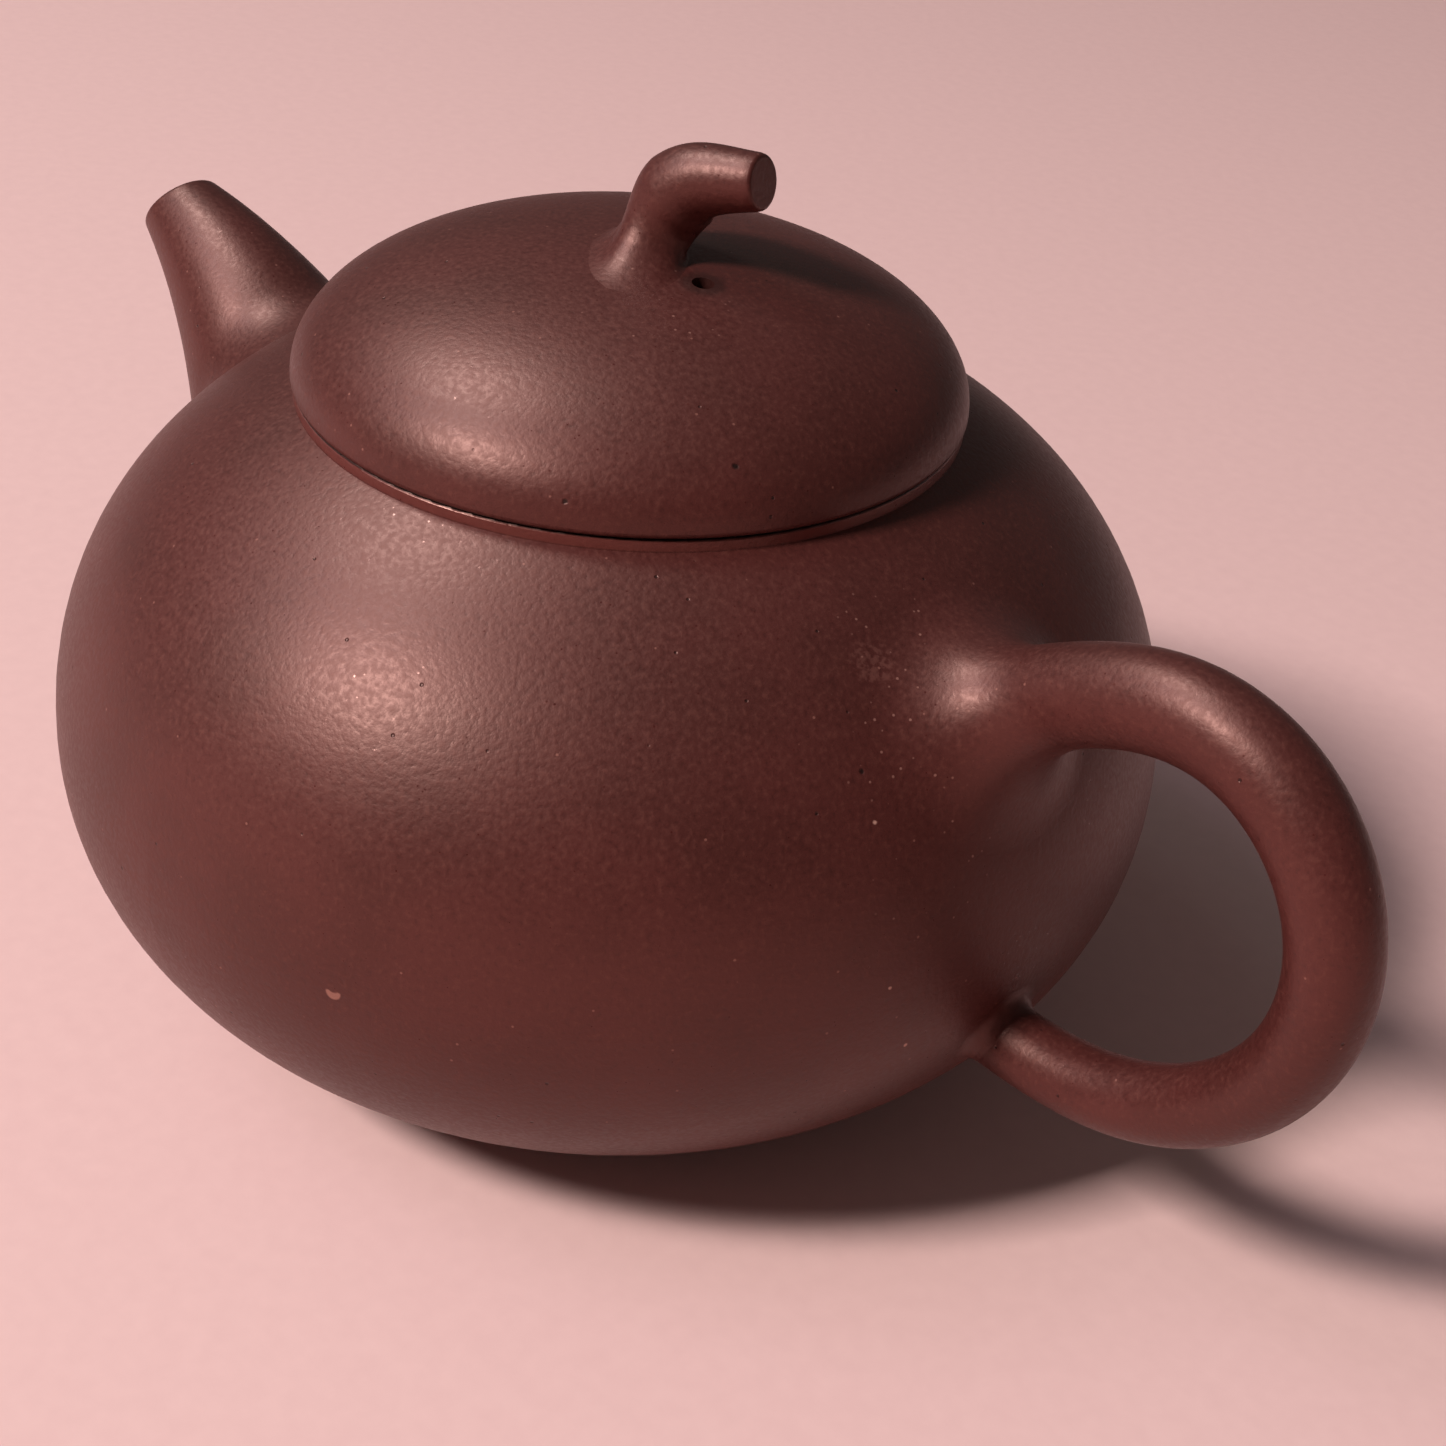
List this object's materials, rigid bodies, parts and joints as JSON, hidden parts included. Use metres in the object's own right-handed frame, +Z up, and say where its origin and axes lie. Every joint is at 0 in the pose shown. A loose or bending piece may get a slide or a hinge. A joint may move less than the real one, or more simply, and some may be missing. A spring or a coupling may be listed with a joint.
{
  "type": "teapot",
  "caption": "Squat round unglazed clay teapot with a short bent spout, ear handle and a domed lid with a stalk knob; the lid turns in its seat and lifts off.",
  "frame": {"origin": "on the pot's turning axis, on the surface that the base stands on", "axes": "+Z up along the pot's axis, +X towards the handle, -X towards the spout"},
  "size_m": [0.1458, 0.096, 0.0796],
  "materials": {
    "purple_clay": "unglazed purple-brown stoneware clay, burnished and handled to a low satin sheen"
  },
  "bodies": {
    "pot": {"belly_wall": "purple_clay", "base_disc": "purple_clay", "mouth_ring": "purple_clay", "spout": "purple_clay", "spout_strainer": "purple_clay", "handle": "purple_clay"},
    "lid_ring": {"lid_flange": "purple_clay"},
    "lid": {"lid_dome": "purple_clay", "lid_stem": "purple_clay"}
  },
  "joints": [
    {"name": "lid_lift", "type": "slide", "parent": "pot", "child": "lid_ring", "axis": [0, 0, 1], "range_m": [0, 0.06]},
    {"name": "lid_turn", "type": "hinge", "parent": "lid_ring", "child": "lid", "pos_m": [0, 0, 0.05791], "axis": [0, 0, 1], "continuous": true}
  ]
}
